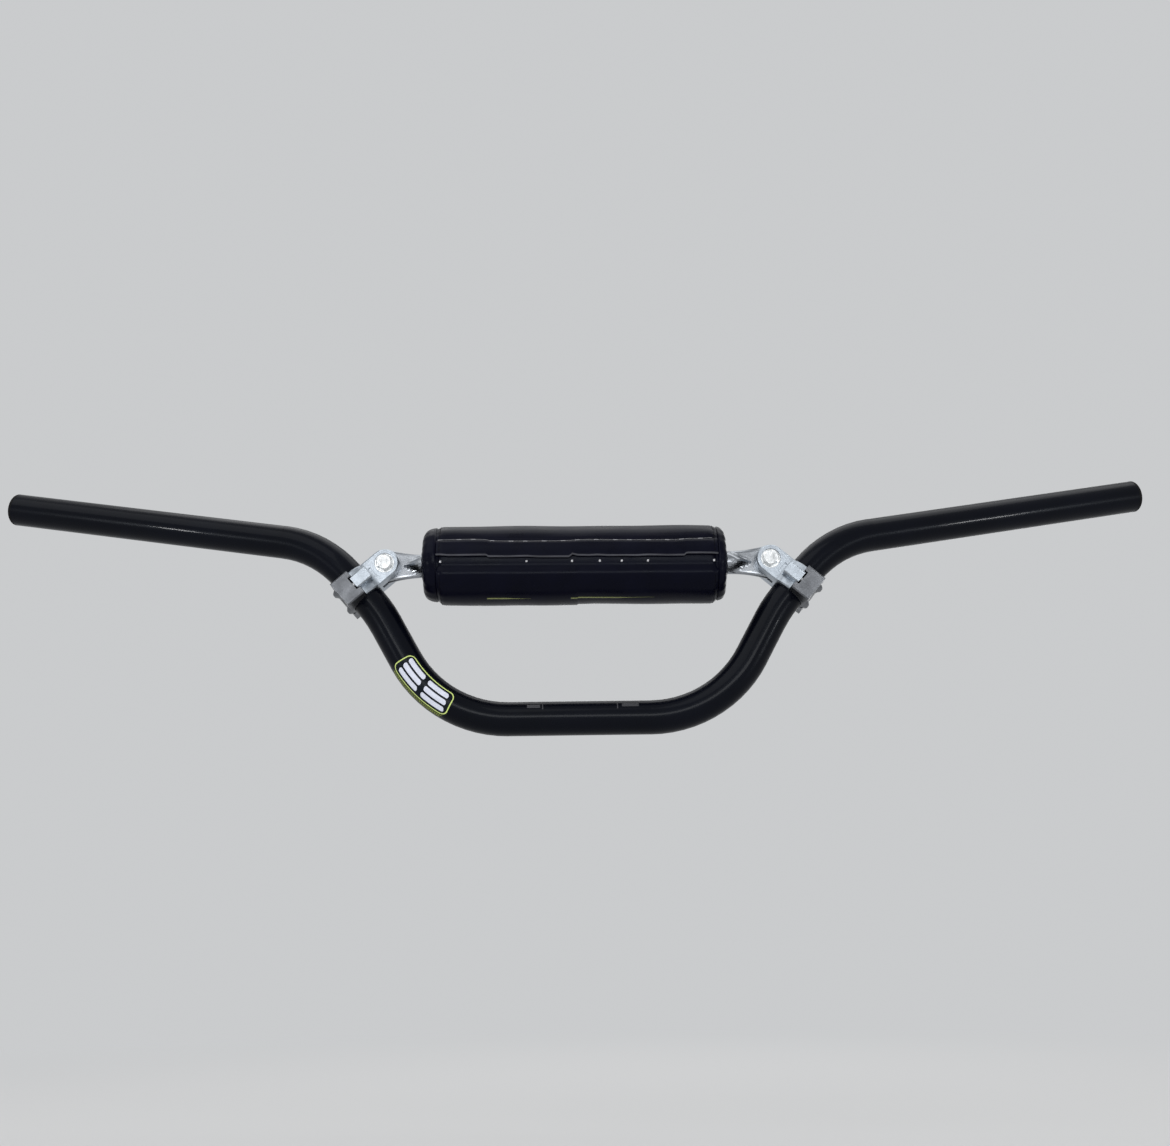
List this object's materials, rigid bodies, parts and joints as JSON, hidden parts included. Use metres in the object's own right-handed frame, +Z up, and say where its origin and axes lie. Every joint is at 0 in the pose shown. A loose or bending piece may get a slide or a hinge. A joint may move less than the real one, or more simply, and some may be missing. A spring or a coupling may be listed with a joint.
{
  "type": "motocross handlebar",
  "caption": "Braced motocross handlebar: a bent black tube with swept-back arms, joined by a clamped silver crossbar that carries a round vinyl pad.",
  "frame": {"origin": "middle of the clamp zone, on the axis of the main tube", "axes": "+X across the bar, to the right as seen from the front; +Z up in the plane of the bar's rise; +Y back toward the rider, so the front faces -Y"},
  "size_m": [0.8028, 0.0883, 0.1851],
  "materials": {
    "black_paint": "satin to semi-gloss black paint",
    "black_plastic": "matte moulded",
    "polished_aluminium": "polished",
    "cast_aluminium": "tumbled bright casting",
    "cap_aluminium": "tumbled casting",
    "screw_steel": "zinc plated",
    "plated_steel": "bright zinc plated",
    "foam": "closed-cell foam",
    "black_vinyl": "glossy fine-grained vinyl",
    "closure_tape": "hook-and-loop tape",
    "decal_print": "printed film"
  },
  "bodies": {
    "root": {"handlebar_tube": "black_paint", "bar_end_plug_left": "black_plastic", "bar_end_plug_right": "black_plastic", "crossbar_tube": "polished_aluminium", "clamp_body_left": "cast_aluminium", "clamp_body_right": "cast_aluminium", "clamp_cap_left": "cap_aluminium", "clamp_cap_right": "cap_aluminium", "clamp_screw_front_left": "screw_steel", "clamp_screw_front_right": "screw_steel", "clamp_screw_back_left": "screw_steel", "clamp_screw_back_right": "screw_steel", "pivot_bolt_left": "plated_steel", "pivot_bolt_right": "plated_steel", "pivot_nut_left": "plated_steel", "pivot_nut_right": "plated_steel", "pad_foam": "foam", "pad_cover": "black_vinyl", "pad_gusset_left": "black_vinyl", "pad_gusset_right": "black_vinyl", "pad_loop_strip": "closure_tape", "pad_hook_strip": "closure_tape", "side_decal": "decal_print"}
  },
  "joints": []
}
